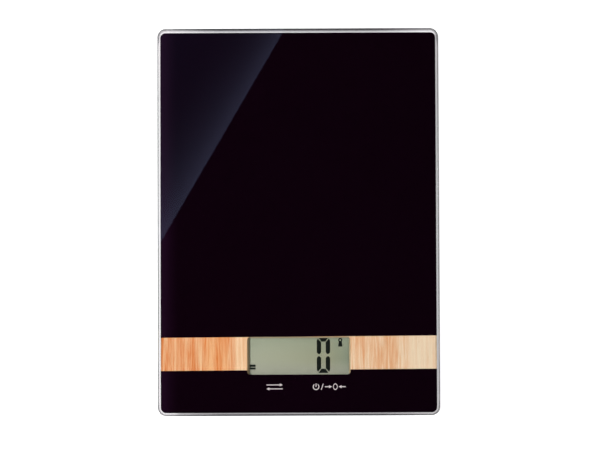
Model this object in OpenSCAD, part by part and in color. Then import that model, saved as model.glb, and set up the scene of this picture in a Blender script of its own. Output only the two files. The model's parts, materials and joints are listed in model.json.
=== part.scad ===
// Slim kitchen scale: glass platter, printed decoration, recessed display, touch keys, four feet.
// +X is to the right, +Y points away from the user and the display is at the -Y end.
// The origin is under the middle of the platter, on the surface that the scale stands on.

/* [Glass platter] */
// Width of the glass, left to right
plate_w = 160; // [156:1:175]
// Length of the glass, front to back
plate_l = 220; // [216:1:240]
// Thickness of the glass
plate_t = 4; // [3:0.5:6]
// Corner radius of the glass
plate_r = 5; // [4:0.5:12]
// Ground bevel along the edges of the glass
plate_bevel = 0.5; // [0.2:0.1:1]

/* [Printed decoration] */
// Thickness of the print on the underside of the glass
print_t = 0.1; // [0.05:0.05:0.2]
// Clear border between the print and each side of the glass
border_side = 1.65; // [1:0.05:4]
// Clear border between the print and each end of the glass
border_end = 1.95; // [1.5:0.05:4]
// How far the print sits towards the front of the glass
print_shift = 0.3; // [0:0.1:1]
// Corner radius of the print
print_r = 3; // [1:0.5:6]
// Height of the wood-look strip, front to back
strip_l = 18.8; // [16:0.2:22]
// Distance from the middle of the platter to the middle of the strip
strip_y = 74.7; // [72:0.1:78]
// How far the printed strip is turned against the glass, in degrees
strip_turn = 0.3; // [0:0.1:1]
// Height of the key marks
mark_l = 3.7; // [3:0.1:5]
// Stroke width of the key marks
mark_line = 0.5; // [0.4:0.05:0.8]

/* [Display] */
// Width of the display window
window_w = 58.6; // [54:0.2:60]
// Height of the display window
window_l = 21.4; // [20:0.2:22]
// Corner radius of the display window
window_r = 1.8; // [1:0.1:3]
// Distance from the middle of the platter to the middle of the window
window_y = 76.05; // [75:0.05:77]
// Depth of the display face below the print
display_depth = 1.5; // [1:0.1:1.8]
// Thickness of one display glass
lcd_glass_t = 0.6; // [0.5:0.1:0.7]
// Width of one digit
digit_w = 7.6; // [6:0.2:9]
// Height of one digit
digit_l = 20.2; // [16:0.2:20.4]
// Width of a digit's segment
digit_line = 2.5; // [1.6:0.1:2.6]
// Distance of the digit from the middle of the platter
digit_x = 14; // [8:0.2:18]

/* [Touch keys] */
// Distance of both keys in front of the middle of the platter
key_y = 93.7; // [92:0.1:95]
// Distance of the unit key left of the middle
unit_key_x = 13.8; // [10:0.1:20]
// Distance of the zero key right of the middle
zero_key_x = 17.3; // [12:0.1:22]
// Outer diameter of a touch spring
spring_d = 6.4; // [5:0.2:7]
// Wire diameter of a touch spring
spring_wire = 0.5; // [0.4:0.1:0.7]
// Turns of a touch spring
spring_turns = 4; // [3:1:6]

/* [Housing] */
// How far the glass stands out past the housing
overhang = 6; // [5:0.5:7]
// Depth of the housing, without feet
housing_t = 7.6; // [7.6:0.1:8.4]
// Corner radius of the housing
housing_r = 9; // [6:0.5:14]
// Thickness of the housing's outer wall
wall = 2.4; // [2:0.1:3]
// Thickness of the housing's floor
floor_t = 1.6; // [1.4:0.1:1.6]
// Bevel around the housing's lower edge
housing_bevel = 1.2; // [0.4:0.1:1.4]
// Thickness of the bonding tape
tape_t = 0.3; // [0.2:0.05:0.4]
// Width of the plain recessed panel on the underside
panel_w = 62; // [40:1:80]
// Height of the recessed panel, front to back
panel_l = 34; // [20:1:44]
// Distance of the recessed panel behind the middle
panel_y = 26; // [20:1:50]

/* [Feet and load cells] */
// Distance of the feet from the middle, left and right
foot_x = 54; // [50:0.5:54]
// Distance of the feet from the middle, front and back
foot_y = 84; // [80:0.5:84]
// How far the feet stand out below the housing
foot_h = 3; // [2.5:0.1:3]
// Radius of a foot's rubber pad
pad_r = 7.8; // [6:0.1:8]
// Radius of a foot's cup
cup_r = 9; // [8.8:0.1:9.2]
// Gap around a foot's cup in the floor
cup_gap = 0.4; // [0.3:0.05:0.5]
// Side of a load cell's steel plate
cell_side = 24; // [23:0.5:24]
// Thickness of a load cell's steel plate
cell_t = 1; // [0.8:0.1:1]

/* [Battery] */
// Diameter of the coin cell
battery_d = 20; // [20:1:20]
// Thickness of the coin cell
battery_t = 3.2; // [2.5:0.1:3.2]
// Distance of the battery in front of the middle
battery_y = 34; // [30:0.5:34]
// Radius of the battery door
door_r = 13.5; // [13:0.1:14]
// Gap around the battery door
door_gap = 0.35; // [0.3:0.05:0.5]

/* [Circuit board] */
// Width of the circuit board
board_w = 72; // [70:1:74]
// Height of the circuit board, front to back
board_l = 46; // [44:1:47]
// Thickness of the circuit board
board_t = 1; // [0.8:0.1:1.2]
// Outer radius of a wire
wire_r = 0.4; // [0.3:0.05:0.45]

/* [Hidden] */
$fn = 64;
slack = 0.1;

housing_w = plate_w - 2 * overhang;
housing_l = plate_l - 2 * overhang;
floor_z = foot_h + floor_t;
rim_z = foot_h + housing_t;
print_z = rim_z + tape_t;
glass_z = print_z + print_t;
print_w = plate_w - 2 * border_side;
print_l = plate_l - 2 * border_end;

// The display stack, from the top down
lcd_y = -window_y;
lcd_w = window_w + 5.4;
lcd_l = window_l + 3.6;
ledge_l = 2.8;
polariser_t = 0.2;
segment_t = 0.05;
polariser_z = print_z - display_depth - polariser_t;
front_z = polariser_z - lcd_glass_t;
segment_z = front_z - segment_t;
rear_z = segment_z - lcd_glass_t;
reflector_z = rear_z - polariser_t;
frame_wall = 1.2;
frame_z = reflector_z - 0.8;

// The circuit board and what stands on it
board_z = floor_z + 0.4;
board_top = board_z + board_t;
board_front = -housing_l / 2 + wall + 1.4;
board_y = board_front + board_l / 2;
pad_row_y = board_front + board_l - 2.4;
wire_pitch = 1.6;
screw_r = 0.9;
screw_head_r = 1.9;

// The load cells, seated in blocks around the feet
block_side = 32;
seat_z = floor_z + 2.3;
cell_top = seat_z + cell_t;
well_r = cup_r + 1.8;
flange_r = cup_r + 1.4;
flange_z = floor_z + 0.05;
stud_r = 2.2;
stud_z = seat_z - 0.01;
pad_t = 1.7;
pad_seat_z = 0.9;
retainer_t = 1.2;
stake = 14;
tongue_w = 8;
tongue_l = 13;
slot_w = 1.4;
gauge_t = 0.5;
gauge_y = 3.4;

// The battery bay
bay_r = door_r + 1.9;
battery_z = floor_z + 1.4;
battery_top = battery_z + battery_t;
can_t = 0.3;
seal_t = 0.5;
bay_wall = 1.6;
bay_roof_z = battery_top + 0.35;
lug_r = door_r + 1.2;
lug_z = floor_z + 0.15;
lug_t = 1;
lug_angle = 26;
door_turn = 60;

// Depth of the lines, marks and panel sunk in the underside
relief_t = 0.35;

// The rails that hold the glass up in the middle, and the wires that pass beside them
rail_x = 15;
rail_y = 30;
rail_w = 9;
rail_l = 62;
wire_low = floor_z + 2.4;
wire_high = cell_top + retainer_t + 0.6;
battery_lead_x = 5;

feet = [[-1, -1], [1, -1], [-1, 1], [1, 1]];
foot_names = ["front_left", "front_right", "rear_left", "rear_right"];

// Which sub-part to draw

// ---------- shared shapes ----------

// A flat plate with round corners.
module round_rect(w, l, r) {
    square([w - 2 * r, l], center = true);
    square([w, l - 2 * r], center = true);
    for (sx = [-1, 1], sy = [-1, 1])
        translate([sx * (w / 2 - r), sy * (l / 2 - r)])
            circle(r);
}

module round_slab(w, l, r, t) {
    linear_extrude(t)
        round_rect(w, l, r);
}

// A slab whose lower and upper edges are bevelled.
module bevelled_slab(w, l, r, t, low, high) {
    function half(a) = [
        [0, 0], [a - low, 0], [a, low], [a, t - high], [a - high, t], [0, t]
    ];
    function whole(a) = concat(half(a), [for (p = [5:-1:0]) [-half(a)[p][0], half(a)[p][1]]]);
    rotate([90, 0, 0])
        linear_extrude(l - 2 * r, center = true)
            polygon(whole(w / 2));
    rotate([90, 0, 90])
        linear_extrude(w - 2 * r, center = true)
            polygon(whole(l / 2));
    for (sx = [-1, 1], sy = [-1, 1])
        translate([sx * (w / 2 - r), sy * (l / 2 - r), 0])
            rotate_extrude()
                polygon(half(r));
}

module tube(outer, inner, t) {
    difference() {
        cylinder(r = outer, h = t);
        translate([0, 0, -1])
            cylinder(r = inner, h = t + 2);
    }
}

// A wire that follows a path, as a closed tube with a ring of points at each place.
module wire(path, r, sides = 8) {
    last = len(path) - 1;
    function ahead(i) = path[min(i + 1, last)] - path[max(i - 1, 0)];
    function across(v) = cross(v, [0, 0, 1]) / norm(cross(v, [0, 0, 1]));
    function above(v) = cross(across(v), v) / norm(v);
    points = [
        for (i = [0:last], k = [0:sides - 1])
            path[i] + r * (cos(360 * k / sides) * across(ahead(i)) + sin(360 * k / sides) * above(ahead(i)))
    ];
    skin = [
        for (i = [0:last - 1], k = [0:sides - 1])
            let (a = i * sides, n = (k + 1) % sides)
                [a + k, a + n, a + sides + n, a + sides + k]
    ];
    first_cap = [for (k = [sides - 1:-1:0]) k];
    last_cap = [for (k = [0:sides - 1]) last * sides + k];
    polyhedron(points, concat(skin, [first_cap, last_cap]));
}

// A path with its corners rounded by a quarter-like curve.
function bend(path, r) = concat(
    [path[0]],
    [for (i = [1:len(path) - 2], s = [0:4])
        let (
            back = path[i - 1] - path[i],
            on = path[i + 1] - path[i],
            reach_back = min(r, norm(back) / 2.2),
            reach_on = min(r, norm(on) / 2.2),
            a = path[i] + back * reach_back / norm(back),
            b = path[i] + on * reach_on / norm(on),
            t = s / 4
        )
        (1 - t) * (1 - t) * a + 2 * t * (1 - t) * path[i] + t * t * b],
    [path[len(path) - 1]]
);

module at_foot(i) {
    translate([feet[i][0] * foot_x, feet[i][1] * foot_y, 0])
        children();
}

module at_feet() {
    for (i = [0:3])
        at_foot(i)
            mirror([feet[i][0] > 0 ? 1 : 0, 0, 0])
                mirror([0, feet[i][1] > 0 ? 1 : 0, 0])
                    children();
}

module at_battery() {
    translate([0, -battery_y, 0])
        children();
}

// A cross-slot screw whose head sits on z = 0.
module screw(head_t, length) {
    drive_l = 2.2;
    drive_w = 0.5;
    difference() {
        union() {
            cylinder(r = screw_head_r, h = head_t);
            translate([0, 0, -length])
                cylinder(r = screw_r, h = length + slack);
        }
        for (a = [0, 90])
            rotate(a)
                translate([0, 0, head_t])
                    cube([drive_l, drive_w, 1], center = true);
    }
}

// ---------- glass and print ----------

module glass_platter() {
    color([0.8, 0.9, 0.88, 0.4])
        translate([0, 0, glass_z])
            bevelled_slab(plate_w, plate_l, plate_r, plate_t, plate_bevel, plate_bevel);
}

module print_outline() {
    translate([0, -print_shift])
        round_rect(print_w, print_l, print_r);
}

module window_outline() {
    translate([0, -window_y])
        round_rect(window_w, window_l, window_r);
}

// The band of the strip, longer than the print is wide.
module strip_band() {
    translate([0, -strip_y])
        rotate(strip_turn)
            square([print_w + 4, strip_l], center = true);
}

module black_print() {
    color([0.05, 0.01, 0.04])
        translate([0, 0, print_z])
            linear_extrude(print_t)
                difference() {
                    print_outline();
                    strip_band();
                    window_outline();
                    key_mark_outlines();
                }
}

module wood_strip() {
    color([0.9, 0.68, 0.48])
        translate([0, 0, print_z])
            linear_extrude(print_t)
                difference() {
                    intersection() {
                        print_outline();
                        strip_band();
                    }
                    window_outline();
                }
}

module arrow(length, head) {
    translate([-length / 2, -mark_line / 2])
        square([length - head, mark_line]);
    translate([length / 2 - head, 0])
        polygon([[0, -head / 2], [head, 0], [0, head / 2]]);
}

// Two opposed arrows: change over from one unit to the next.
module unit_mark() {
    for (turn = [0, 180])
        rotate(turn)
            translate([0, mark_l * 0.3])
                arrow(mark_l * 2.5, mark_l * 0.46);
}

// A ring open at the top with a bar in the gap: on and off.
module power_mark() {
    difference() {
        circle(mark_l / 2);
        circle(mark_l / 2 - mark_line);
        translate([0, mark_l / 2])
            square([mark_l * 0.5, mark_l], center = true);
    }
    translate([-mark_line / 2, 0])
        square([mark_line, mark_l / 2]);
}

// Two arrows that point at a nought: set the reading back to zero.
module zero_mark() {
    difference() {
        scale([0.7, 1])
            circle(mark_l / 2);
        scale([0.7, 1])
            circle(mark_l / 2 - mark_line);
    }
    for (turn = [0, 180])
        rotate(turn)
            translate([-mark_l * 1.05, 0])
                arrow(mark_l * 1.1, mark_l * 0.46);
}

module key_mark_outlines() {
    translate([-unit_key_x, -key_y])
        unit_mark();
    translate([zero_key_x, -key_y]) {
        translate([-mark_l * 2.05, 0])
            power_mark();
        translate([-mark_l * 1.1, 0])
            rotate(-18)
                square([mark_line * 0.8, mark_l], center = true);
        translate([mark_l * 0.9, 0])
            zero_mark();
    }
}

module key_marks() {
    color([0.86, 0.8, 0.74])
        translate([0, 0, print_z])
            linear_extrude(print_t)
                key_mark_outlines();
}

// ---------- housing ----------

module bonding_tape() {
    color([0.85, 0.85, 0.82])
        translate([0, 0, rim_z]) {
            difference() {
                round_slab(housing_w - 0.4, housing_l - 0.4, housing_r - 0.2, tape_t);
                translate([0, 0, -1])
                    round_slab(housing_w - 2 * wall, housing_l - 2 * wall, housing_r - wall, tape_t + 2);
            }
            for (sx = [-1, 1])
                translate([sx * rail_x, rail_y, 0])
                    round_slab(rail_w, rail_l, 1, tape_t);
        }
}

// The block that seats a load cell, with the well for the foot in it.
module cell_block() {
    difference() {
        translate([0, 0, floor_z - slack])
            round_slab(block_side, block_side, 3, cell_top - floor_z + slack);
        translate([0, 0, foot_h])
            cylinder(r = well_r, h = housing_t);
        translate([0, 0, seat_z])
            cell_outline(cell_side + 0.3, housing_t);
        for (s = [-1, 1])
            translate([s * stake, s * stake, floor_z + 0.4])
                cylinder(r = screw_r, h = housing_t);
    }
}

module cell_outline(side, t) {
    cut = side / 2 - 3;
    linear_extrude(t)
        polygon([
            [side / 2, cut], [cut, side / 2], [-cut, side / 2], [-side / 2, cut],
            [-side / 2, -cut], [-cut, -side / 2], [cut, -side / 2], [side / 2, -cut]
        ]);
}

// A hollow rail under the middle of the glass.
module rail() {
    rail_wall = 1.5;
    difference() {
        translate([0, 0, floor_z - slack])
            round_slab(rail_w, rail_l, 1, rim_z - floor_z + slack);
        translate([0, 0, floor_z])
            round_slab(rail_w - 2 * rail_wall, rail_l - 2 * rail_wall, 0.8, housing_t);
    }
}

// Low stiffening ribs across the floor and along it.
module floor_ribs() {
    rib_t = 1.2;
    rib_h = 1.6;
    rib_x = 44;
    long_rib_l = 116;
    translate([0, 0, floor_z + rib_h / 2 - slack]) {
        for (y = [0, 20, 40, 60])
            translate([0, y, 0])
                cube([housing_w - 2 * wall + slack, rib_t, rib_h], center = true);
        for (sx = [-1, 1])
            translate([sx * rib_x, 10, 0])
                cube([rib_t, long_rib_l, rib_h], center = true);
    }
}

// The round tower over the coin cell, wide below for the door's lugs, with slots for the contacts.
module bay_tower() {
    cell_gap = 0.9;
    roof_t = 1;
    contact_slot = [8, 14, 3.2];
    lug_room_z = lug_z + lug_t + 0.3;
    difference() {
        translate([0, 0, floor_z - slack])
            cylinder(r = bay_r + bay_wall, h = bay_roof_z + roof_t - floor_z);
        translate([0, 0, foot_h - 1])
            cylinder(r = bay_r, h = lug_room_z - foot_h + 1);
        translate([0, 0, foot_h])
            cylinder(r = battery_d / 2 + cell_gap, h = bay_roof_z - foot_h);
        for (sy = [-1, 1])
            translate([0, sy * battery_d / 2, battery_z + 2])
                cube(contact_slot, center = true);
    }
}

// The door's hole, with three notches that let its lugs in once it is turned open.
module door_hole() {
    hole_t = floor_t + 1.4;
    translate([0, 0, foot_h - 1])
        cylinder(r = door_r + door_gap, h = hole_t);
    for (k = [0:2])
        rotate(120 * k - door_turn)
            translate([0, 0, foot_h - 1])
                lug_wedge(lug_r + door_gap, hole_t, lug_angle + 8);
}

module lug_wedge(r, t, angle) {
    rotate(-angle / 2)
        rotate_extrude(angle = angle)
            square([r, t]);
}

// A sunk dot where the door is shut and a sunk ring where it is open.
module open_shut_marks() {
    dot_r = 1.2;
    ring_r = 1.5;
    for (k = [0, 1])
        rotate(-90 - door_turn * k)
            translate([bay_r + 4.6, 0, foot_h - 1])
                linear_extrude(1 + relief_t)
                    if (k == 0)
                        circle(dot_r);
                    else
                        difference() {
                            circle(ring_r);
                            circle(ring_r * 0.6);
                        }
}

// A plain recessed panel and a fine line around the underside.
module underside_relief() {
    line_in = 7;
    line_w = 0.8;
    clear_of_foot = 5.4;
    translate([0, panel_y, foot_h - 1])
        round_slab(panel_w, panel_l, 2, 1 + relief_t);
    translate([0, 0, foot_h - 1])
        linear_extrude(1 + relief_t)
            difference() {
                round_rect(housing_w - 2 * line_in, housing_l - 2 * line_in, housing_r - 2);
                round_rect(
                    housing_w - 2 * line_in - 2 * line_w, housing_l - 2 * line_in - 2 * line_w,
                    housing_r - 2 - line_w
                );
                for (f = feet)
                    translate([f[0] * foot_x, f[1] * foot_y])
                        circle(cup_r + clear_of_foot);
            }
}

module at_board_screws() {
    from_edge = 3;
    for (sx = [-1, 1], sy = [-1, 1])
        translate([sx * (board_w / 2 - from_edge), board_y + sy * (board_l / 2 - from_edge), 0])
            children();
}

module board_bosses() {
    boss_r = 2.4;
    at_board_screws()
        translate([0, 0, floor_z - slack])
            cylinder(r = boss_r, h = board_z - floor_z + slack);
}

module base_housing() {
    color([0.06, 0.06, 0.065])
        difference() {
            union() {
                difference() {
                    translate([0, 0, foot_h])
                        bevelled_slab(housing_w, housing_l, housing_r, housing_t, housing_bevel, 0.2);
                    translate([0, 0, floor_z])
                        round_slab(housing_w - 2 * wall, housing_l - 2 * wall, housing_r - wall, housing_t);
                }
                floor_ribs();
                at_feet()
                    cell_block();
                for (sx = [-1, 1])
                    translate([sx * rail_x, rail_y, 0])
                        rail();
                at_battery()
                    bay_tower();
                board_bosses();
            }
            at_feet() {
                translate([0, 0, foot_h - 1])
                    cylinder(r = cup_r + cup_gap, h = floor_t + 2);
                translate([0, 0, floor_z])
                    cylinder(r = well_r, h = seat_z - floor_z);
                translate([0, 0, foot_h - 1])
                    tube(cup_r + 4, cup_r + 3.2, 1 + relief_t);
            }
            at_battery() {
                door_hole();
                open_shut_marks();
            }
            underside_relief();
            at_board_screws()
                translate([0, 0, floor_z - 0.9])
                    cylinder(r = screw_r, h = 3);
        }
}

// ---------- load cells ----------

// A spring-steel plate with a tongue that a U-shaped slot cuts free.
module load_cell() {
    hole_r = 1;
    hole_in = 3;
    tongue_shift = 2;
    color([0.72, 0.73, 0.75])
        difference() {
            translate([0, 0, seat_z])
                cell_outline(cell_side, cell_t);
            translate([0, (slot_w - tongue_l) / 2 + tongue_shift, seat_z - 1])
                linear_extrude(cell_t + 2)
                    difference() {
                        square([tongue_w + 2 * slot_w, tongue_l + slot_w], center = true);
                        translate([0, slot_w])
                            square([tongue_w, tongue_l + slot_w], center = true);
                    }
            for (sx = [-1, 1])
                translate([sx * (cell_side / 2 - hole_in), 0, seat_z - 1])
                    cylinder(r = hole_r, h = cell_t + 2);
        }
}

module placed_cell(i) {
    at_foot(i)
        mirror([0, feet[i][1] > 0 ? 1 : 0, 0])
            load_cell();
}

// Blobs of resin over the strain gauges, at the root of each tongue.
module strain_gauges() {
    gauge = [6, 5];
    color([0.93, 0.93, 0.9])
        at_feet()
            translate([0, gauge_y, cell_top])
                round_slab(gauge[0], gauge[1], 1.6, gauge_t);
}

// Frames that hold the load cells down around their edges.
module cell_retainers() {
    window = [17, 19];
    color([0.9, 0.9, 0.88])
        at_feet()
            translate([0, 0, cell_top + 0.02])
                difference() {
                    round_slab(block_side, block_side, 3, retainer_t);
                    translate([0, 0, -1])
                        round_slab(window[0], window[1], 2.5, retainer_t + 2);
                    for (s = [-1, 1])
                        translate([s * stake, s * stake, -1])
                            cylinder(r = screw_r + 0.2, h = retainer_t + 2);
                }
}

module retainer_screws() {
    head_t = 1;
    length = 3.2;
    color([0.75, 0.75, 0.77])
        at_feet()
            for (s = [-1, 1])
                translate([s * stake, s * stake, cell_top + 0.04 + retainer_t])
                    screw(head_t, length);
}

// ---------- circuit board ----------

module circuit_board() {
    hole_r = 1.2;
    color([0.1, 0.36, 0.18])
        difference() {
            translate([0, board_y, board_z])
                round_slab(board_w, board_l, 1.5, board_t);
            at_board_screws()
                translate([0, 0, board_z - 1])
                    cylinder(r = hole_r, h = board_t + 2);
        }
}

module board_screws() {
    color([0.75, 0.75, 0.77])
        at_board_screws()
            translate([0, 0, board_top])
                screw(0.6, 2);
}

// A shallow dome of black resin over the chip.
module chip_blob() {
    blob_r = 5.5;
    blob_h = 0.9;
    steps = 8;
    color([0.03, 0.03, 0.03])
        translate([-10, lcd_y, board_top])
            rotate_extrude()
                polygon(concat(
                    [[0, 0]],
                    [for (a = [0:steps]) [blob_r * cos(90 * a / steps), blob_h * sin(90 * a / steps)]]
                ));
}

module clock_crystal() {
    can_r = 0.75;
    color([0.8, 0.8, 0.82])
        translate([3, lcd_y + 3, board_top + can_r])
            rotate([0, 90, 0])
                cylinder(r = can_r, h = 6);
}

// A row of small chips: how many, where the first stands, the step to the next and one's size.
module chip_row(count, x, y, step, size) {
    for (k = [0:count - 1])
        translate([x + step * k, y, board_top + size[2] / 2])
            cube(size, center = true);
}

module capacitors() {
    color([0.65, 0.5, 0.33]) {
        chip_row(4, -24, lcd_y - 6, 4, [2, 1.2, 0.8]);
        chip_row(3, 14, lcd_y + 6, 4, [2, 1.2, 0.8]);
    }
}

module resistors() {
    color([0.08, 0.08, 0.09]) {
        chip_row(5, -4, lcd_y - 6, 3.4, [2, 1.2, 0.5]);
        chip_row(4, -26, lcd_y + 6, 3.4, [2, 1.2, 0.5]);
    }
}

// Where each wire meets the board: side, foot row and colour give the place.
function solder_x(side, rear, colour) = side * (32 - wire_pitch * (colour + 3 * rear) - wire_pitch);

module solder_joints() {
    places = concat(
        [for (side = [-1, 1], rear = [0, 1], colour = [0:2]) solder_x(side, rear, colour)],
        [-battery_lead_x, battery_lead_x]
    );
    color([0.78, 0.78, 0.8])
        for (x = places)
            translate([x, pad_row_y - 0.8, board_top])
                cylinder(r1 = 0.7, r2 = 0.35, h = 0.8);
}

// ---------- display ----------

module lcd_slab(w, l, y, t) {
    translate([-w / 2, y - l / 2, 0])
        cube([w, l, t]);
}

module front_polariser() {
    color([0.62, 0.65, 0.56, 0.4])
        translate([0, 0, polariser_z])
            lcd_slab(lcd_w - 1, lcd_l - 1, lcd_y, polariser_t);
}

module lcd_front_glass() {
    color([0.7, 0.75, 0.68, 0.4])
        translate([0, 0, front_z])
            lcd_slab(lcd_w, lcd_l + ledge_l, lcd_y + ledge_l / 2, lcd_glass_t);
}

module lcd_rear_glass() {
    color([0.66, 0.7, 0.62])
        translate([0, 0, rear_z])
            lcd_slab(lcd_w, lcd_l, lcd_y, lcd_glass_t);
}

module lcd_reflector() {
    color([0.62, 0.64, 0.55])
        translate([0, 0, reflector_z])
            lcd_slab(lcd_w - 1, lcd_l - 1, lcd_y, polariser_t);
}

// The right side of a digit's upper half: a point in the middle, a slanted cut at the end.
module upright_segment(length) {
    t = digit_line / 2;
    blunt = t * 0.35;
    tip = digit_line * 0.38;
    chamfer = digit_line * 0.28;
    polygon([
        [-blunt, 0], [blunt, 0], [t, tip], [t, length - 1.6 * chamfer], [t - chamfer, length],
        [0, length - chamfer], [-t, length - digit_line * 0.8], [-t, tip]
    ]);
}

// An end segment: flat on the outside and narrower towards the middle of the digit.
module end_segment() {
    half = digit_w / 2 - digit_line * 0.44;
    depth = digit_line * 0.96;
    polygon([
        [-half, 0], [half, 0], [half * 0.9, -depth * 0.25],
        [half * 0.42, -depth], [-half * 0.42, -depth], [-half * 0.9, -depth * 0.25]
    ]);
}

module digit_zero() {
    middle_gap = 0.65;
    end_gap = 0.7;
    for (sx = [0, 1], sy = [0, 1])
        mirror([sx, 0])
            mirror([0, sy])
                translate([(digit_w - digit_line) / 2, middle_gap])
                    upright_segment(digit_l / 2 - middle_gap - end_gap);
    for (turn = [0, 180])
        rotate(turn)
            translate([0, digit_l / 2])
                end_segment();
}

// A small balance weight: a ring on a block, wider at its foot.
module weight_mark() {
    ring_r = 1.2;
    ring_y = 1.4;
    block_top = 0.85;
    block_foot = 1.25;
    block_l = 3;
    neck_y = 0.7;
    translate([0, ring_y])
        difference() {
            circle(ring_r);
            circle(ring_r * 0.42);
        }
    polygon([
        [-block_foot, neck_y - block_l], [block_foot, neck_y - block_l],
        [block_top, neck_y], [-block_top, neck_y]
    ]);
}

// Two bars, one over the other: the battery is low.
module battery_mark() {
    bar_w = 3.4;
    upper_t = 1.35;
    lower_t = 1.15;
    translate([-bar_w / 2, -6.45])
        square([bar_w, upper_t]);
    translate([-bar_w / 2, -7.9])
        square([bar_w, lower_t]);
}

module lcd_segments() {
    weight_place = [digit_x + 9.6, lcd_y + 7.25];
    battery_mark_x = -26.3;
    color([0.06, 0.09, 0.07])
        translate([0, 0, segment_z])
            linear_extrude(segment_t) {
                translate([digit_x, lcd_y + 0.1])
                    digit_zero();
                translate(weight_place)
                    weight_mark();
                translate([battery_mark_x, lcd_y])
                    battery_mark();
            }
}

// Three walls of the recess slope inwards from the window down to the display.
// Each row holds a wall's turn, its distance across the recess, its length and its run.
module recess_slopes(w, l) {
    rise = display_depth - 0.05;
    walls = [[0, w, l, 1.5], [180, w, l, 1.1], [-90, l, w, 1.1]];
    for (wall = walls)
        rotate(wall[0])
            translate([-wall[1] / 2, 0, 0])
                rotate([90, 0, 0])
                    linear_extrude(wall[2], center = true)
                        polygon([[-slack, 0], [wall[3], 0], [0, rise], [-slack, rise]]);
}

module lcd_frame() {
    fit = 0.2;
    setback = 0.3;
    leg = 3;
    mid_y = lcd_y + ledge_l / 2;
    inner_w = lcd_w + 2 * fit;
    inner_l = lcd_l + ledge_l + 2 * fit;
    outer_w = inner_w + 2 * frame_wall;
    outer_l = inner_l + 2 * frame_wall;
    color([0.42, 0.36, 0.27]) {
        difference() {
            union() {
                translate([0, mid_y, frame_z])
                    round_slab(outer_w, outer_l, 1.2, print_z - frame_z - 0.02);
                for (sx = [-1, 1], sy = [-1, 1])
                    translate([
                        sx * (outer_w - leg) / 2, mid_y + sy * (outer_l - leg) / 2, board_top + 0.01
                    ])
                        linear_extrude(frame_z - board_top + slack)
                            square(leg, center = true);
            }
            translate([0, lcd_y, print_z - display_depth])
                round_slab(window_w + 2 * setback, window_l + 2 * setback, window_r, display_depth + 1);
            translate([-inner_w / 2, mid_y - inner_l / 2, frame_z - 3])
                cube([inner_w, inner_l, polariser_z - frame_z + 3 + polariser_t]);
        }
        translate([0, lcd_y, print_z - display_depth + 0.01])
            recess_slopes(window_w + 2 * setback, window_l + 2 * setback);
    }
}

// The rubber strip that joins the display's contacts to the board's.
module zebra_strip() {
    size = [56, 1.8];
    color([0.85, 0.75, 0.8])
        translate([0, 0, board_top])
            lcd_slab(size[0], size[1], lcd_y + (lcd_l + ledge_l) / 2, front_z - board_top);
}

// ---------- touch springs ----------

// A coil that carries the touch from the underside of the glass to the board.
module touch_spring() {
    steps = 18;
    end_gap = 0.02;
    coil_r = (spring_d - spring_wire) / 2;
    height = print_z - board_top - spring_wire - 2 * end_gap;
    path = [
        for (i = [0:steps * spring_turns])
            let (turn = 360 * i / steps, t = i / (steps * spring_turns))
                [coil_r * cos(turn), coil_r * sin(turn), height * t]
    ];
    color([0.85, 0.72, 0.4])
        translate([0, 0, board_top + spring_wire / 2 + end_gap])
            wire(path, spring_wire / 2);
}

module touch_spring_unit() {
    translate([-unit_key_x, -key_y, 0])
        touch_spring();
}

module touch_spring_zero() {
    translate([zero_key_x, -key_y, 0])
        touch_spring();
}

// ---------- battery ----------

// The cell's outer can, crimped inwards at the top.
module battery_can() {
    can_r = battery_d / 2;
    inner_r = can_r - can_t;
    edge = 0.3;
    crimp = 0.4;
    rim_top = battery_t - edge;
    color([0.78, 0.78, 0.79])
        at_battery()
            translate([0, 0, battery_z])
                rotate_extrude()
                    polygon([
                        [0, 0], [can_r - edge, 0], [can_r, edge], [can_r, rim_top - edge],
                        [can_r - crimp, rim_top], [inner_r - crimp, rim_top - 0.2],
                        [inner_r, rim_top - 0.5], [inner_r, can_t], [0, can_t]
                    ]);
}

module battery_seal() {
    outer = battery_d / 2 - can_t - 0.01;
    below_top = 0.85;
    color([0.3, 0.3, 0.32])
        at_battery()
            translate([0, 0, battery_z + can_t])
                tube(outer, outer + 0.01 - seal_t, battery_t - can_t - below_top);
}

module battery_cap() {
    base_r = battery_d / 2 - can_t - seal_t - 0.02;
    top_r = battery_d / 2 - 2.2;
    top = battery_t - can_t - 0.02;
    shoulder = battery_t - 1.3;
    color([0.74, 0.74, 0.75])
        at_battery()
            translate([0, 0, battery_z + can_t + 0.01])
                rotate_extrude()
                    polygon([[0, 0], [base_r, 0], [base_r, shoulder], [top_r, top], [0, top]]);
}

// A sprung strip over the middle of the cell, with a tail through the bay wall.
module negative_contact() {
    sheet_t = 0.25;
    sprung_w = 5;
    sprung_out = 2;
    past_middle = 3;
    tail_w = 2;
    tail_out = 8.2;
    lap = 0.2;
    color([0.8, 0.78, 0.7])
        at_battery()
            translate([0, 0, battery_top + 0.01]) {
                translate([-sprung_w / 2, -battery_d / 2 - sprung_out, 0])
                    cube([sprung_w, battery_d / 2 + sprung_out + past_middle, sheet_t]);
                translate([-tail_w / 2, -battery_d / 2 - tail_out, 0])
                    cube([tail_w, tail_out - sprung_out + lap, sheet_t]);
            }
}

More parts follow.
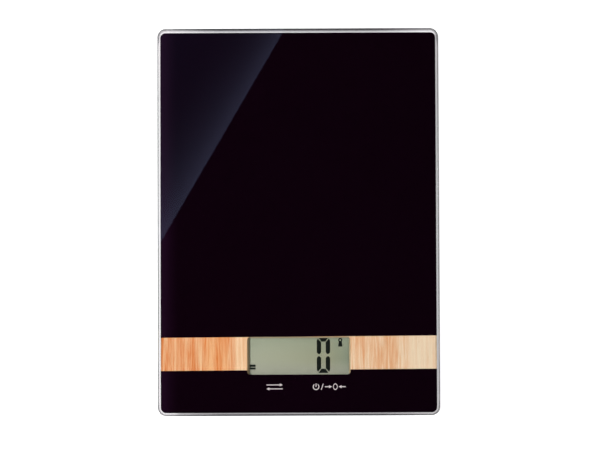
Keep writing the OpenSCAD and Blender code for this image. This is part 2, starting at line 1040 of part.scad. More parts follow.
// A plate that presses on the side of the can, with a tail that leaves the bay beside it.
module positive_contact() {
    sheet_w = 6.8;
    sheet_t = 0.5;
    sheet_h = 1.8;
    sheet_out = 0.7;
    tail_x = 2.4;
    tail_w = 1;
    tail_l = 7.4;
    tail_out = 0.4;
    color([0.8, 0.78, 0.7])
        at_battery()
            translate([0, 0, battery_z + 0.6])
                difference() {
                    union() {
                        translate([-sheet_w / 2, -battery_d / 2 - sheet_out, 0])
                            cube([sheet_w, sheet_t, sheet_h]);
                        translate([tail_x, -battery_d / 2 - tail_out - tail_l, 0])
                            cube([tail_w, tail_l, sheet_h]);
                    }
                    translate([0, 0, -1])
                        cylinder(r = battery_d / 2 + 0.02, h = sheet_h + 2.2);
                }
}

// ---------- wires ----------

// The route of one wire from a strain gauge to its place on the board. The wires of the rear cells
// run along the rails, and those of the front cells turn in behind the board.
function cell_route(side, rear, colour) =
    let (
        row = rear ? 1 : -1,
        spread = wire_pitch * (colour - 1),
        x = solder_x(side, rear, colour),
        place = [x, pad_row_y, board_top + wire_r],
        gauge_z = cell_top + gauge_t + wire_r,
        over = [side * (foot_x - 10), row * foot_y + spread, wire_high],
        edge = [side * (foot_x - 17), row * foot_y + spread, wire_high],
        in_line = pad_row_y + 7 + (colour + 1) * wire_pitch
    )
    rear
        ? [[side * (foot_x - 1), row * (foot_y - gauge_y) + spread, gauge_z], over, edge,
            [x, row * foot_y + spread, wire_low], [x, 0, wire_low],
            [x, pad_row_y + 4, wire_low], place]
        : [[side * (foot_x + 0.75 * spread), row * (foot_y - gauge_y), gauge_z],
            [side * (foot_x - 3 + spread), row * (foot_y - 9), wire_high],
            [side * (foot_x - 4 + spread), row * (foot_y - 17), wire_high],
            [side * (foot_x - 4 + spread), in_line, wire_low],
            [x, in_line, wire_low], [x, pad_row_y + 3, wire_low], place];

module cell_wires(colour) {
    for (side = [-1, 1], rear = [false, true])
        wire(bend(cell_route(side, rear ? 1 : 0, colour), 3), wire_r);
}

// A lead from a battery contact's tail to the board.
module battery_lead(side, from) {
    start = [from[0], -battery_y + from[1], from[2]];
    x = side * battery_lead_x;
    wire(bend([
        start, [x, start[1] - 1.4, (start[2] + wire_low) / 2], [x, pad_row_y, board_top + wire_r]
    ], 1), wire_r);
}

module wires_red() {
    color([0.75, 0.08, 0.07]) {
        cell_wires(0);
        battery_lead(1, [2.9, -battery_d / 2 - 8.4, battery_z + 1.5]);
    }
}

module wires_black() {
    color([0.05, 0.05, 0.05]) {
        cell_wires(1);
        battery_lead(-1, [-1, -battery_d / 2 - 8.8, battery_top - wire_r]);
    }
}

module wires_white() {
    color([0.9, 0.9, 0.9])
        cell_wires(2);
}

// ---------- feet ----------

module foot_cup() {
    color([0.1, 0.1, 0.1])
        difference() {
            rotate_extrude()
                polygon([
                    [0, pad_seat_z], [cup_r - 0.4, pad_seat_z], [cup_r, pad_seat_z + 0.4],
                    [cup_r, flange_z], [flange_r, flange_z], [flange_r, flange_z + 0.9],
                    [stud_r, flange_z + 0.9], [stud_r, stud_z - 0.3], [stud_r - 0.3, stud_z],
                    [0, stud_z]
                ]);
            translate([0, 0, -1])
                cylinder(r = pad_r, h = pad_t + 1);
        }
}

module foot_pad() {
    color([0.2, 0.2, 0.21])
        rotate_extrude()
            polygon([[0, 0], [pad_r - 0.5, 0], [pad_r, 0.5], [pad_r, pad_t], [0, pad_t]]);
}

// ---------- battery door ----------

// A round door with a coin slot, a dot that shows its turn and three lugs that lock it.
module battery_door() {
    plate_z = floor_t - 0.1;
    edge = 0.4;
    rim_t = 1.2;
    rim_inner_r = door_r - edge - rim_t;
    boss_r = 7;
    coin_slot = [16, 2.2, 2];
    dot_r = 0.9;
    dot_in = 2.4;
    color([0.08, 0.08, 0.085])
        at_battery()
            difference() {
                union() {
                    translate([0, 0, foot_h])
                        rotate_extrude()
                            polygon([
                                [0, 0], [door_r - edge, 0], [door_r, edge], [door_r, plate_z], [0, plate_z]
                            ]);
                    translate([0, 0, foot_h + plate_z - slack])
                        tube(door_r - edge, rim_inner_r, lug_z + lug_t - foot_h - plate_z + slack);
                    for (k = [0:2])
                        rotate(120 * k)
                            translate([0, 0, lug_z])
                                difference() {
                                    lug_wedge(lug_r, lug_t, lug_angle);
                                    translate([0, 0, -1])
                                        cylinder(r = rim_inner_r, h = lug_t + 2);
                                }
                    translate([0, 0, foot_h + plate_z - slack])
                        tube(boss_r, boss_r - rim_t, battery_z - 0.1 - foot_h - plate_z + slack);
                }
                translate([0, 0, foot_h])
                    cube(coin_slot, center = true);
                rotate(-90)
                    translate([door_r - dot_in, 0, foot_h - 1])
                        cylinder(r = dot_r, h = 1.3);
            }
}

// The ring under the door's edge that keeps dirt out and gives its turn some drag.
module door_seal() {
    color([0.55, 0.16, 0.12])
        at_battery()
            translate([0, 0, foot_h + floor_t - 0.1])
                tube(door_r - 1.7, door_r - 3, 0.9);
}

// ---------- what is drawn ----------

glass_platter();
black_print();
wood_strip();
key_marks();
bonding_tape();
base_housing();
placed_cell(0);  // load_cell_front_left
placed_cell(1);  // load_cell_front_right
placed_cell(2);  // load_cell_rear_left
placed_cell(3);  // load_cell_rear_right
strain_gauges();
cell_retainers();
retainer_screws();
circuit_board();
board_screws();
chip_blob();
clock_crystal();
capacitors();
resistors();
solder_joints();
zebra_strip();
lcd_frame();
front_polariser();
lcd_front_glass();
lcd_segments();
lcd_rear_glass();
lcd_reflector();
touch_spring_unit();
touch_spring_zero();
battery_can();
battery_cap();
battery_seal();
positive_contact();
negative_contact();
wires_red();
wires_black();
wires_white();
at_foot(0) foot_cup();  // foot_cup_front_left
at_foot(1) foot_cup();  // foot_cup_front_right
at_foot(2) foot_cup();  // foot_cup_rear_left
at_foot(3) foot_cup();  // foot_cup_rear_right
at_foot(0) foot_pad();  // foot_pad_front_left
at_foot(1) foot_pad();  // foot_pad_front_right
at_foot(2) foot_pad();  // foot_pad_rear_left
at_foot(3) foot_pad();  // foot_pad_rear_right
battery_door();
door_seal();
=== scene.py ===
"""Looks of a slim glass kitchen scale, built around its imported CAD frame."""

import json
import math

import bpy
from mathutils import Matrix, Vector


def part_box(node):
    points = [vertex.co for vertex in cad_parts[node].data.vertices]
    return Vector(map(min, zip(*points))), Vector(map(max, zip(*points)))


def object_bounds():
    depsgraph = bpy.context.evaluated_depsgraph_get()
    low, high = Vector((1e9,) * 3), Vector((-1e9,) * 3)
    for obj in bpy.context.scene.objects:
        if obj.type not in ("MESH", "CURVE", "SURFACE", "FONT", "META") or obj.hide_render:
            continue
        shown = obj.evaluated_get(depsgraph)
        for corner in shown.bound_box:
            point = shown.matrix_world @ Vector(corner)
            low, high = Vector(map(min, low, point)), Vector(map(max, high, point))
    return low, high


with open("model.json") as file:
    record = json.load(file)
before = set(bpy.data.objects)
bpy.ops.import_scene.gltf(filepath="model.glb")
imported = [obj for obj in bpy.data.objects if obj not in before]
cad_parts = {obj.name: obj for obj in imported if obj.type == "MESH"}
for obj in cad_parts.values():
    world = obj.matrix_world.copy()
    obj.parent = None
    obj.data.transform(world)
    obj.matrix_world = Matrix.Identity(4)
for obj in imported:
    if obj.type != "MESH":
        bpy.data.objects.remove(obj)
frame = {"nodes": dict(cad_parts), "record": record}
cad_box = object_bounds()
NODES = frame["nodes"]
MM = 0.001
X, Y, Z = 0, 1, 2

low, high = (Vector(corner) for corner in cad_box)
middle = (low + high) / 2

# ---------------------------------------------------------------- camera

LENS = 100
SENSOR = 36
VIEW_WIDTH = 340.1 * MM  # how much of the glass plane the picture spans
LEAN = math.radians(1.4)  # how far the camera stands towards the user
TWIST = math.radians(0.21)
AIM_ASIDE = Vector((0.94 * MM, -1.98 * MM, 0))


def add_camera():
    data = bpy.data.cameras.new("camera")
    data.lens = LENS
    data.sensor_width = SENSOR
    data.clip_start = 0.01
    data.clip_end = 50
    camera = bpy.data.objects.new("camera", data)
    bpy.context.collection.objects.link(camera)
    aim = Vector((middle.x, middle.y, high.z)) + AIM_ASIDE
    reach = VIEW_WIDTH * LENS / SENSOR
    turn = Matrix.Rotation(LEAN, 4, "X") @ Matrix.Rotation(-TWIST, 4, "Z")
    camera.matrix_world = Matrix.Translation(aim) @ turn @ Matrix.Translation((0, 0, reach))
    bpy.context.scene.camera = camera


add_camera()

display_low, display_high = (Vector(corner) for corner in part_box("front_polariser"))

# ---------------------------------------------------------------- shader graphs


class Graph:
    """Short ways to add nodes to a shader tree."""

    def __init__(self, tree):
        self.tree = tree

    def node(self, kind, **settings):
        made = self.tree.nodes.new(kind)
        for key, value in settings.items():
            setattr(made, key, value)
        return made

    def feed(self, source, target):
        self.tree.links.new(source, target)

    def value(self, target, source):
        """Feeds a socket from another socket, or sets it to a constant."""
        if isinstance(source, bpy.types.NodeSocket):
            self.feed(source, target)
        else:
            target.default_value = source

    def spread(self, source, low_in, high_in, low_out=0.0, high_out=1.0, smooth=False):
        """Carries one range of values over to another, and clamps it there."""
        made = self.node("ShaderNodeMapRange")
        if smooth:
            made.interpolation_type = "SMOOTHSTEP"
        self.feed(source, made.inputs["Value"])
        sockets = ("From Min", "From Max", "To Min", "To Max")
        for socket, value in zip(sockets, (low_in, high_in, low_out, high_out)):
            made.inputs[socket].default_value = value
        return made.outputs["Result"]

    def maths(self, operation, a, b=0.0):
        made = self.node("ShaderNodeMath", operation=operation)
        self.value(made.inputs[0], a)
        self.value(made.inputs[1], b)
        return made.outputs[0]

    def mix(self, share, a, b):
        """Mixes two colours, given as sockets or as constants."""
        made = self.node("ShaderNodeMix", data_type="RGBA")
        self.value(made.inputs["Factor"], share)
        for socket, colour in ((made.inputs[6], a), (made.inputs[7], b)):
            self.value(socket, colour if isinstance(colour, bpy.types.NodeSocket) else (*colour, 1))
        return made.outputs[2]

    def blend(self, share, a, b):
        """Mixes two plain values."""
        made = self.node("ShaderNodeMix", data_type="FLOAT")
        for socket, source in ((made.inputs["Factor"], share), (made.inputs[2], a), (made.inputs[3], b)):
            self.feed(source, socket)
        return made.outputs[0]

    def part(self, vector, which):
        """The X, Y or Z part of a vector."""
        split = self.node("ShaderNodeSeparateXYZ")
        self.feed(vector, split.inputs[0])
        return split.outputs[which]


class Look(Graph):
    """A material around one Principled shader."""

    def __init__(self, name, **sockets):
        self.material = bpy.data.materials.new(name)
        self.material.use_nodes = True
        super().__init__(self.material.node_tree)
        self.shader = self.tree.nodes["Principled BSDF"]
        self.output = self.tree.nodes["Material Output"]
        self.place = self.node("ShaderNodeTexCoord").outputs["Object"]
        for socket, value in sockets.items():
            self.shader.inputs[socket.replace("_", " ")].default_value = value

    def stretched(self, scale=(1, 1, 1), shift=(0, 0, 0)):
        mapping = self.node("ShaderNodeMapping")
        mapping.inputs["Scale"].default_value = scale
        mapping.inputs["Location"].default_value = shift
        self.feed(self.place, mapping.inputs["Vector"])
        return mapping.outputs["Vector"]

    def noise(self, scale, detail=3, rough=0.5, vector=None, twist=0):
        made = self.node("ShaderNodeTexNoise")
        made.inputs["Scale"].default_value = scale
        made.inputs["Detail"].default_value = detail
        made.inputs["Roughness"].default_value = rough
        made.inputs["Distortion"].default_value = twist
        self.feed(vector or self.place, made.inputs["Vector"])
        return made.outputs["Fac"]

    def vary(self, noise, least, most):
        """Spreads the usual range of a noise between two values."""
        return self.spread(noise, 0.3, 0.7, least, most)

    def axis(self, which):
        return self.part(self.place, which)

    def facing(self, which):
        return self.part(self.node("ShaderNodeNewGeometry").outputs["True Normal"], which)

    def colour(self, source):
        self.value(self.shader.inputs["Base Color"], source)

    def rough(self, source):
        self.value(self.shader.inputs["Roughness"], source)

    def bump(self, height, depth, strength=1.0):
        made = self.node("ShaderNodeBump")
        made.inputs["Strength"].default_value = strength
        made.inputs["Distance"].default_value = depth
        self.feed(height, made.inputs["Height"])
        self.feed(made.outputs["Normal"], self.shader.inputs["Normal"])

    def swap_for(self, share, other):
        """Shows another shader in place of the Principled one, as far as the share says."""
        mixed = self.node("ShaderNodeMixShader")
        self.feed(share, mixed.inputs[0])
        self.feed(self.shader.outputs[0], mixed.inputs[1])
        self.feed(other, mixed.inputs[2])
        self.feed(mixed.outputs[0], self.output.inputs["Surface"])


# ---------------------------------------------------------------- general materials


def plain_surface(name, pale, dark, grain, rough, relief):
    """A surface mottled between two colours, with matching gloss and fine relief."""
    look = Look(name)
    mottle = look.noise(grain, 4, 0.6)
    look.colour(look.mix(look.spread(mottle, 0.35, 0.65), dark, pale))
    look.rough(look.vary(look.noise(grain * 3, 2), *rough))
    look.bump(look.noise(grain * 8, 3), relief)
    return look.material


def moulded_plastic(name, colour, worn, rough):
    """Spark-textured plastic: fine pits, faint swirls of gloss and a paler bloom."""
    look = Look(name, Specular_IOR_Level=0.45)
    pits = look.node("ShaderNodeTexVoronoi")
    pits.inputs["Scale"].default_value = 2600
    look.feed(look.place, pits.inputs["Vector"])
    bloom = look.noise(25, 6, 0.7, look.stretched((1, 3, 1)))
    scuffs = look.noise(260, 3, 0.7, look.stretched((1, 7, 1), (0.3, 0.1, 0)), 0.5)
    bloom_share = look.spread(bloom, 0.45, 0.75, 0.0, 0.5)
    scuff_share = look.spread(scuffs, 0.62, 0.74, 0.0, 0.5)
    look.colour(look.mix(look.maths("ADD", bloom_share, scuff_share), colour, worn))
    look.rough(look.vary(look.noise(140, 3), rough - 0.06, rough + 0.08))
    look.bump(pits.outputs["Distance"], 0.05 * MM, 0.55)
    return look.material


def brushed_metal(name, colour, rough=0.3, along=(1, 40, 1)):
    look = Look(name, Metallic=1.0)
    lines = look.noise(420, 2, 0.5, look.stretched(along))
    paler = tuple(min(1.0, c * 1.15) for c in colour)
    look.colour(look.mix(look.vary(lines, 0.0, 1.0), colour, paler))
    look.rough(look.vary(lines, rough - 0.08, rough + 0.1))
    look.bump(lines, 0.01 * MM, 0.4)
    return look.material


def rubber(name, colour):
    look = Look(name, Specular_IOR_Level=0.3)
    dust = look.noise(180, 5, 0.65)
    dusty = tuple(c + 0.03 for c in colour)
    look.colour(look.mix(look.spread(dust, 0.5, 0.8), colour, dusty))
    look.rough(look.vary(dust, 0.72, 0.9))
    look.bump(look.noise(1400, 4, 0.7), 0.05 * MM, 0.5)
    return look.material


def ringed_pad():
    """The pads' rubber, moulded with fine rings around the middle of each foot."""
    ring_pitch = 1.1 * MM
    look = Look("ringed_pad", Specular_IOR_Level=0.3)
    pad_low, pad_high = (Vector(corner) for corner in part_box("foot_pad_rear_right"))
    centre = (pad_low + pad_high) / 2
    squares = []
    for which in (X, Y):
        aside = look.maths("SUBTRACT", look.maths("ABSOLUTE", look.axis(which)), centre[which])
        squares.append(look.maths("POWER", look.maths("ABSOLUTE", aside), 2.0))
    radius = look.maths("SQRT", look.maths("ADD", *squares))
    rings = look.maths("SINE", look.maths("MULTIPLY", radius, 2 * math.pi / ring_pitch))
    relief = look.spread(rings, -0.3, 0.3, smooth=True)
    dust = look.noise(200, 5, 0.65)
    tone = look.mix(look.spread(dust, 0.5, 0.8), (0.02, 0.02, 0.021), (0.05, 0.05, 0.05))
    look.colour(look.mix(look.maths("MULTIPLY", relief, 0.35), tone, (0.06, 0.06, 0.062)))
    look.rough(look.vary(dust, 0.62, 0.85))
    look.bump(relief, 0.12 * MM, 0.8)
    return look.material


# ---------------------------------------------------------------- platter and prints

GLASS_CORNER = 5 * MM  # radius of the platter's corners
RIM_END = (2.1 * MM, 3.0 * MM)  # the bare rim, darkened with painted shade, gives way to clear glass between these insets
LINE_SIDE = 0.5 * MM  # width of the dark line of painted shade along the sides
LINE_FAR = 1.3 * MM  # its width along the far end
LINE_NEAR_EXTRA = 0.45 * MM  # how much wider it is along the near end than along the sides


def clear_for_lamps(look, tint):
    """Lets lamps and soft light straight through the glass to what lies under it."""
    rays = look.node("ShaderNodeLightPath")
    through = look.node("ShaderNodeBsdfTransparent")
    through.inputs["Color"].default_value = (*tint, 1)
    soft = look.maths("MAXIMUM", rays.outputs["Is Shadow Ray"], rays.outputs["Is Diffuse Ray"])
    look.swap_for(soft, through.outputs[0])


def inset_from_rim(look):
    """How far a place lies inside the platter's outline, whose corners are rounded."""
    straight = []
    for which in (X, Y):
        aside = look.maths("ABSOLUTE", look.maths("SUBTRACT", look.axis(which), middle[which]))
        straight.append(look.maths("SUBTRACT", aside, high[which] - GLASS_CORNER))
    squares = [look.maths("POWER", look.maths("MAXIMUM", s), 2.0) for s in straight]
    around = look.maths("SQRT", look.maths("ADD", *squares))
    inside = look.maths("MINIMUM", look.maths("MAXIMUM", *straight))
    return look.maths("SUBTRACT", GLASS_CORNER, look.maths("ADD", around, inside))


def nearness_to_corners(look):
    """0 along the middle of each side, 1 at the platter's corners."""
    shares = []
    for which in (X, Y):
        shares.append(look.maths("DIVIDE", look.maths("ABSOLUTE", look.axis(which)), high[which]))
    return look.spread(look.maths("ADD", *shares), 1.5, 1.95, smooth=True)


def face_tint_and_painted_shade(look):
    """Clear faces with painted shade: a greyer bare rim, darker along the ends, and a dark line just
    inside the bevel standing in for refraction.
    """
    inset = inset_from_rim(look)
    far = look.spread(look.axis(Y), high.y - 12 * MM, high.y - 4 * MM, smooth=True)
    near = look.spread(look.axis(Y), low.y + 10 * MM, low.y + 4 * MM, smooth=True)
    ends = look.maths("MAXIMUM", far, near)
    corner = nearness_to_corners(look)
    right = look.spread(look.axis(X), low.x, high.x)

    # painted shade: the rim is tinted darker, most of all along the far and near ends
    rim = look.spread(inset, *RIM_END, 1.0, 0.0)
    rim_painted_shade = look.mix(ends, (0.5, 0.5, 0.505), (0.345, 0.33, 0.345))
    rim_painted_shade = look.mix(corner, rim_painted_shade, (0.51, 0.49, 0.505))

    # painted shade: a dark line inside the bevel, darker at the left and darkest along the ends
    width = look.spread(far, 0, 1, LINE_SIDE, LINE_FAR)
    width = look.maths("ADD", width, look.maths("MULTIPLY", near, LINE_NEAR_EXTRA))
    line = look.spread(look.maths("DIVIDE", inset, width), 0.9, 1.1, 1.0, 0.0)
    line_painted_shade = look.mix(right, (0.2, 0.2, 0.2), (0.4, 0.4, 0.41))
    line_painted_shade = look.mix(ends, line_painted_shade, (0.07, 0.068, 0.072))
    line_painted_shade = look.mix(corner, line_painted_shade, (0.22, 0.215, 0.22))

    clear = (0.985, 0.995, 0.99)
    return look.mix(line, look.mix(rim, clear, rim_painted_shade), line_painted_shade)


def platter_glass():
    """Tempered float glass: clear faces, bevels darkened with painted shade (paler near the corners) and
    a ground green-grey wall.
    """
    look = Look("platter_glass", Transmission_Weight=1.0, IOR=1.5)
    level = look.maths("ABSOLUTE", look.facing(Z))
    edge = look.spread(level, 0.55, 0.95, 1.0, 0.0)
    wall = look.spread(level, 0.15, 0.45, 1.0, 0.0)
    # painted shade: the bevels are tinted dark, less so near the corners
    bevel_painted_shade = look.mix(nearness_to_corners(look), (0.065, 0.067, 0.067), (0.15, 0.15, 0.152))
    wall_tone = look.mix(look.noise(600, 3), (0.21, 0.29, 0.26), (0.26, 0.34, 0.31))
    look.colour(look.mix(edge, face_tint_and_painted_shade(look), look.mix(wall, bevel_painted_shade, wall_tone)))
    # the ground wall is only partly clear
    look.value(look.shader.inputs["Transmission Weight"], look.spread(wall, 0, 1, 1.0, 0.35))
    smear = look.noise(30, 4, 0.6, look.stretched((1, 2.5, 1)), 0.6)
    polish = look.spread(smear, 0.45, 0.75, 0.0, 0.012)
    ground = look.vary(look.noise(900, 2), 0.06, 0.14)
    look.rough(look.blend(edge, polish, ground))
    clear_for_lamps(look, (0.95, 0.975, 0.965))
    return look.material


def black_ink():
    """Black back print that turns a little lighter and redder towards its left side."""
    look = Look("black_ink", Specular_IOR_Level=0.0)
    base = look.mix(look.noise(35, 3), (0.0031, 0.0004, 0.0023), (0.0037, 0.0006, 0.0028))
    left = look.spread(look.axis(X), low.x + 2 * MM, low.x + 12 * MM, 1.0, 0.0)
    look.colour(look.mix(look.maths("POWER", left, 1.6), base, (0.0115, 0.003, 0.0105)))
    look.rough(look.vary(look.noise(600, 3), 0.35, 0.5))
    look.bump(look.noise(1500, 2), 0.01 * MM, 0.3)
    return look.material


def wood_print():
    """Printed wood: upright grain, orange streaks on peach at the left, paler at the right."""
    look = Look("wood_print", Specular_IOR_Level=0.2)
    across = look.axis(X)
    bands = look.noise(330, 3, 0.6, look.stretched((1, 0.06, 1)), 0.35)
    streaks = look.noise(1250, 3, 0.65, look.stretched((1, 0.035, 1), (0.4, 0, 0)), 0.25)
    pores = look.noise(2600, 2, 0.7, look.stretched((1, 0.05, 1), (0.9, 0, 0)))
    wide = look.maths("MULTIPLY", look.spread(bands, 0.42, 0.58), 0.45)
    thin = look.maths("MULTIPLY", look.spread(streaks, 0.42, 0.58), 0.55)
    grain = look.maths("ADD", wide, thin)
    warm = look.mix(grain, (0.76, 0.425, 0.23), (0.62, 0.165, 0.036))
    pale = look.mix(grain, (0.78, 0.57, 0.40), (0.675, 0.305, 0.14))
    base = look.mix(look.spread(across, -45 * MM, 50 * MM), warm, pale)

    # the right end fades, one board is more orange, and the one left of the display is paler
    right_end = look.spread(across, 58 * MM, 68 * MM, 0.0, 0.6, smooth=True)
    base = look.mix(right_end, base, (0.785, 0.615, 0.45))
    off_board = look.maths("ABSOLUTE", look.maths("ADD", across, 47 * MM))
    board = look.spread(off_board, 5 * MM, 9 * MM, 0.8, 0.0, smooth=True)
    base = look.mix(board, base, look.mix(grain, (0.76, 0.37, 0.17), (0.64, 0.165, 0.03)))
    left_part = look.spread(across, 0.0, 10 * MM, 1.0, 0.0)
    beside = look.spread(across, -40 * MM, -35 * MM, 0.0, 0.7, smooth=True)
    beside = look.maths("MULTIPLY", beside, left_part)
    base = look.mix(beside, base, look.mix(grain, (0.83, 0.57, 0.37), (0.75, 0.39, 0.20)))
    base = look.mix(look.spread(pores, 0.58, 0.78, 0.0, 0.3), base, (0.56, 0.24, 0.09))

    # a dark backing coat covers the print's underside
    downward = look.spread(look.facing(Z), -0.6, -0.4, 1.0, 0.0)
    look.colour(look.mix(downward, base, (0.0034, 0.0006, 0.0026)))
    look.rough(look.vary(bands, 0.42, 0.55))
    look.bump(streaks, 0.02 * MM, 0.4)
    return look.material


def pale_ink():
    look = Look("pale_ink", Specular_IOR_Level=0.3)
    look.colour(look.mix(look.noise(700, 3), (0.55, 0.46, 0.47), (0.64, 0.54, 0.56)))
    look.rough(look.vary(look.noise(900, 2), 0.45, 0.6))
    look.bump(look.noise(2000, 2), 0.01 * MM, 0.3)
    return look.material


# ---------------------------------------------------------------- display


def display_glass():
    """Thin clear glass with a hint of green and a soft sheen."""
    look = Look("display_glass", Transmission_Weight=1.0, IOR=1.3)
    look.colour(look.mix(look.noise(220, 2), (0.97, 0.985, 0.96), (0.95, 0.965, 0.94)))
    look.rough(look.vary(look.noise(500, 2), 0.0, 0.02))
    clear_for_lamps(look, (0.995, 0.995, 0.995))
    return look.material


def display_film():
    """The front polariser: clear but for a faint grey-green haze and a soft sheen."""
    look = Look("display_film", Specular_IOR_Level=0.3, Alpha=0.003)
    look.colour(look.mix(look.noise(220, 2), (0.60, 0.64, 0.54), (0.56, 0.60, 0.50)))
    look.rough(look.vary(look.noise(500, 2), 0.14, 0.22))
    look.bump(look.noise(900, 2), 0.004 * MM, 0.2)
    return look.material


def display_reflector(name="display_reflector"):
    """The pearly back of the display: grey-green, darker to the right with a painted shadow at its right
    end, and greyer at the bottom.
    """
    look = Look(name, Specular_IOR_Level=0.2)
    sparkle = look.noise(5200, 2, 0.6)
    across = look.axis(X)
    upward = look.spread(look.axis(Y), display_low.y, display_high.y)
    left_to_right = look.spread(across, -28 * MM, 20 * MM)
    level = look.mix(left_to_right, (0.375, 0.362, 0.28), (0.298, 0.285, 0.196))
    # painted shadow: the right end is darker, as shade along the window's right wall
    right_end = look.spread(across, 18 * MM, 28 * MM)
    level = look.mix(right_end, level, (0.232, 0.248, 0.183))
    top = look.spread(upward, 0.5, 0.95, 0.0, 0.7)
    level = look.mix(top, level, (0.315, 0.333, 0.25))
    bottom = look.spread(upward, 0.4, 0.08, 0.0, 0.8)
    base = look.mix(bottom, level, (0.355, 0.332, 0.285))
    look.colour(look.mix(look.spread(sparkle, 0.4, 0.7, 0.0, 0.15), base, (0.36, 0.37, 0.28)))
    look.rough(look.vary(sparkle, 0.32, 0.5))
    look.bump(sparkle, 0.01 * MM, 0.4)
    return look.material


def display_frame():
    """The recess's plastic frame: brown, with painted light making the slope under the far edge paler.
    """
    look = Look("display_frame", Specular_IOR_Level=0.45)
    mottle = look.noise(120, 4, 0.6)
    base = look.mix(mottle, (0.27, 0.195, 0.105), (0.31, 0.23, 0.13))
    # painted light: slopes facing the near side are made paler, as if lit
    far_slope_painted_light = look.spread(look.facing(Y), -0.3, -0.5)
    look.colour(look.mix(far_slope_painted_light, base, look.mix(mottle, (0.40, 0.30, 0.19), (0.46, 0.35, 0.22))))
    look.rough(look.vary(look.noise(400, 3), 0.5, 0.66))
    look.bump(look.noise(2200, 2), 0.02 * MM, 0.5)
    return look.material


def segment_ink():
    look = Look("segment_ink", Specular_IOR_Level=0.2)
    look.colour(look.mix(look.noise(800, 2), (0.0008, 0.0022, 0.0014), (0.002, 0.0045, 0.003)))
    look.rough(look.vary(look.noise(900, 2), 0.3, 0.4))
    return look.material


# ---------------------------------------------------------------- which node wears what


def plastic_looks():
    return {
        "housing_plastic": moulded_plastic(
            "housing_plastic", (0.022, 0.022, 0.024), (0.034, 0.034, 0.036), 0.5),
        "door_plastic": moulded_plastic(
            "door_plastic", (0.026, 0.026, 0.028), (0.04, 0.04, 0.042), 0.44),
        "cup_plastic": moulded_plastic(
            "cup_plastic", (0.03, 0.03, 0.033), (0.045, 0.045, 0.048), 0.36),
        "white_plastic": moulded_plastic(
            "white_plastic", (0.66, 0.66, 0.63), (0.72, 0.72, 0.69), 0.5),
    }


def rubber_looks():
    tones = {
        "black_rubber": (0.018, 0.018, 0.019),
        "pink_rubber": (0.55, 0.4, 0.44),
        "red_rubber": (0.36, 0.05, 0.035),
        "white_resin": (0.75, 0.75, 0.71),
    }
    return {name: rubber(name, tone) for name, tone in tones.items()}


def metal_looks():
    return {
        "screw_steel": brushed_metal("screw_steel", (0.58, 0.58, 0.6)),
        "cell_steel": brushed_metal("cell_steel", (0.56, 0.57, 0.59), 0.34),
        "contact_metal": brushed_metal("contact_metal", (0.62, 0.59, 0.5), 0.28),
        "bright_metal": brushed_metal("bright_metal", (0.7, 0.7, 0.71), 0.2, (1, 6, 1)),
        "gilt_wire": brushed_metal("gilt_wire", (0.78, 0.6, 0.28), 0.25, (6, 6, 1)),
    }


def plain_looks():
    """Pale tone, dark tone, grain, roughness and relief of the plainer pieces."""
    satin_wire = (300, (0.35, 0.45), 0.01 * MM)
    kinds = {
        "foam_tape": ((0.72, 0.72, 0.69), (0.62, 0.62, 0.59), 900, (0.8, 0.95), 0.05 * MM),
        "board_green": ((0.02, 0.16, 0.06), (0.012, 0.12, 0.045), 260, (0.25, 0.4), 0.02 * MM),
        "black_resin": ((0.02, 0.02, 0.02), (0.012, 0.012, 0.013), 300, (0.35, 0.5), 0.02 * MM),
        "tan_ceramic": ((0.42, 0.29, 0.17), (0.34, 0.22, 0.12), 700, (0.4, 0.55), 0.01 * MM),
        "red_wire": ((0.55, 0.02, 0.02), (0.42, 0.015, 0.015), *satin_wire),
        "black_wire": ((0.025, 0.025, 0.025), (0.015, 0.015, 0.015), *satin_wire),
        "white_wire": ((0.78, 0.78, 0.76), (0.7, 0.7, 0.68), *satin_wire),
    }
    return {name: plain_surface(name, *kind) for name, kind in kinds.items()}


LOOKS = {
    "clear_glass": platter_glass(),
    "black_ink": black_ink(),
    "wood_film": wood_print(),
    "pale_ink": pale_ink(),
    "display_glass": display_glass(),
    "reflector_film": display_reflector(),
    "frame_plastic": display_frame(),
    "segment_ink": segment_ink(),
    **plastic_looks(),
    **rubber_looks(),
    **metal_looks(),
    **plain_looks(),
}


def dress_nodes():
    """Gives each carried-over node the look of its material slot."""
    for entry in frame["record"]["subparts"]:
        data = NODES[entry["node"]].data
        data.materials.clear()
        data.materials.append(LOOKS[entry["material_slot"]])
    pad = ringed_pad()
    for node in NODES:
        if node.startswith("foot_pad_"):
            NODES[node].data.materials[0] = pad
    film = NODES["front_polariser"]
    film.data.materials[0] = display_film()
    film.visible_shadow = False
    film.visible_diffuse = False
    # the rear glass shows the reflector behind it, close under the segments
    NODES["lcd_rear_glass"].data.materials[0] = display_reflector("rear_glass")


dress_nodes()

# ---------------------------------------------------------------- floor and light

FLOOR_HALF = 6.0  # half the width of the table top, in metres
# the ceiling panel is laid out in slopes: how far a direction leans to +X and to +Y for each rise
ACROSS_EDGE = (-0.863, 0.505)
ALONG_EDGE = (0.505, 0.863)
EDGE_PLACE = 0.07955
EDGE_BLUR = 0.0006
LOWEST_RISE = 0.01  # keeps the slopes finite near the horizon
# the panel's glow at its edge and how fast it fades from there, each with its change along the edge
GLOW, GLOW_CHANGE = 0.995, -1.14
FADE, FADE_CHANGE = -82.0, -290.0
BLACK = (0.0, 0.0, 0.0)
WHITE = (1.0, 1.0, 1.0)
PALE_WALL = (0.8, 0.8, 0.8)


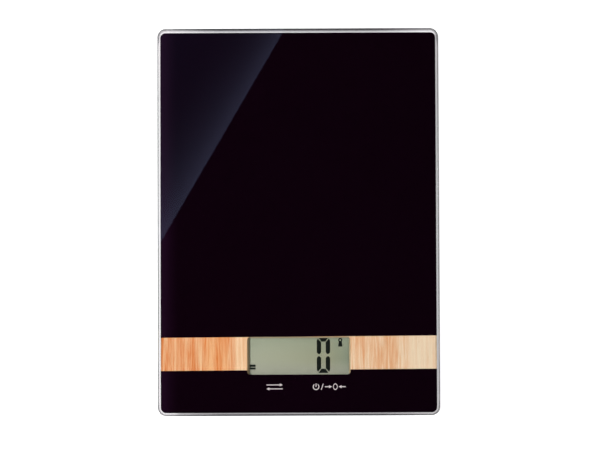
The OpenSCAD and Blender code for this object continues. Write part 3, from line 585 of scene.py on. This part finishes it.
def add_floor():
    """A large pale table top that glows a little, as a light table does."""
    mesh = bpy.data.meshes.new("floor")
    signs = ((-1, -1), (1, -1), (1, 1), (-1, 1))
    mesh.from_pydata([(x * FLOOR_HALF, y * FLOOR_HALF, 0) for x, y in signs], [], [(0, 1, 2, 3)])
    floor = bpy.data.objects.new("floor", mesh)
    bpy.context.collection.objects.link(floor)
    look = Look("floor", Roughness=0.7, Specular_IOR_Level=0.1)
    look.colour(look.mix(look.noise(8, 2), (0.9, 0.9, 0.905), (0.93, 0.93, 0.935)))
    look.shader.inputs["Emission Color"].default_value = (*WHITE, 1)
    look.shader.inputs["Emission Strength"].default_value = 0.75
    # seen from below the table is clear, so that the underside can be looked at
    from_below = look.node("ShaderNodeNewGeometry").outputs["Backfacing"]
    look.swap_for(from_below, look.node("ShaderNodeBsdfTransparent").outputs[0])
    mesh.materials.append(look.material)


def add_panel_light(name, towards, distance, size, power):
    data = bpy.data.lights.new(name, "AREA")
    data.shape = "RECTANGLE"
    data.size = size
    data.size_y = size
    data.energy = power
    lamp = bpy.data.objects.new(name, data)
    bpy.context.collection.objects.link(lamp)
    away = Vector(towards).normalized()
    turn = away.to_track_quat("Z", "Y").to_matrix().to_4x4()
    lamp.matrix_world = Matrix.Translation(middle + away * distance) @ turn


def mirrored_ceiling(sky, direction, up):
    """A dark ceiling with one slanted panel, whose edge the glass mirrors as a line."""
    slopes = []
    for which in (X, Y):
        part = sky.part(direction, which)
        slopes.append(sky.maths("DIVIDE", part, sky.maths("MAXIMUM", up, LOWEST_RISE)))

    def measure(along):
        parts = [sky.maths("MULTIPLY", slope, share) for slope, share in zip(slopes, along)]
        return sky.maths("ADD", *parts)

    beside = sky.maths("SUBTRACT", measure(ACROSS_EDGE), EDGE_PLACE)
    panel = sky.spread(beside, -EDGE_BLUR, EDGE_BLUR, smooth=True)
    # it is weaker, and fades faster, towards the far end of the line
    upward = measure(ALONG_EDGE)
    rate = sky.maths("ADD", sky.maths("MULTIPLY", upward, FADE_CHANGE), FADE)
    strength = sky.maths("ADD", sky.maths("MULTIPLY", upward, GLOW_CHANGE), GLOW)
    falloff = sky.maths("EXPONENT", sky.maths("MULTIPLY", beside, rate))
    fading = sky.maths("MULTIPLY", strength, falloff)
    far_share = sky.spread(beside, 0.03, 0.065, smooth=True)
    far_glow = sky.mix(far_share, (0.02, 0.04, 0.09), (0.037, 0.058, 0.135))
    return sky.mix(panel, BLACK, sky.mix(fading, far_glow, (0.44, 0.52, 0.92)))


def studio_sky():
    """A bright room under the dark ceiling, with a plain white background."""
    world = bpy.data.worlds.new("studio")
    bpy.context.scene.world = world
    world.use_nodes = True
    sky = Graph(world.node_tree)
    back = sky.tree.nodes["Background"]
    direction = sky.node("ShaderNodeTexCoord").outputs["Generated"]
    up = sky.part(direction, Z)
    rays = sky.node("ShaderNodeLightPath").outputs
    soft_room = sky.mix(sky.spread(up, 0.0, 0.75, smooth=True), PALE_WALL, (0.62, 0.62, 0.62))
    # polished faces mirror a dimmer wall, so that the black glass stays deep from every side
    mirrored_room = sky.mix(sky.spread(up, 0.1, 0.45, smooth=True), PALE_WALL, (0.3, 0.3, 0.3))
    room = sky.mix(rays["Is Glossy Ray"], soft_room, mirrored_room)
    overhead = sky.spread(up, 0.90, 0.975, smooth=True)
    lit = sky.mix(overhead, room, mirrored_ceiling(sky, direction, up))
    sky.feed(sky.mix(rays["Is Camera Ray"], lit, WHITE), back.inputs["Color"])
    back.inputs["Strength"].default_value = 1.0


add_floor()
studio_sky()
add_panel_light("window_light", towards=(-0.60, 0.05, 0.80), distance=1.2, size=0.12, power=13.0)
bpy.context.scene.view_settings.view_transform = "Standard"
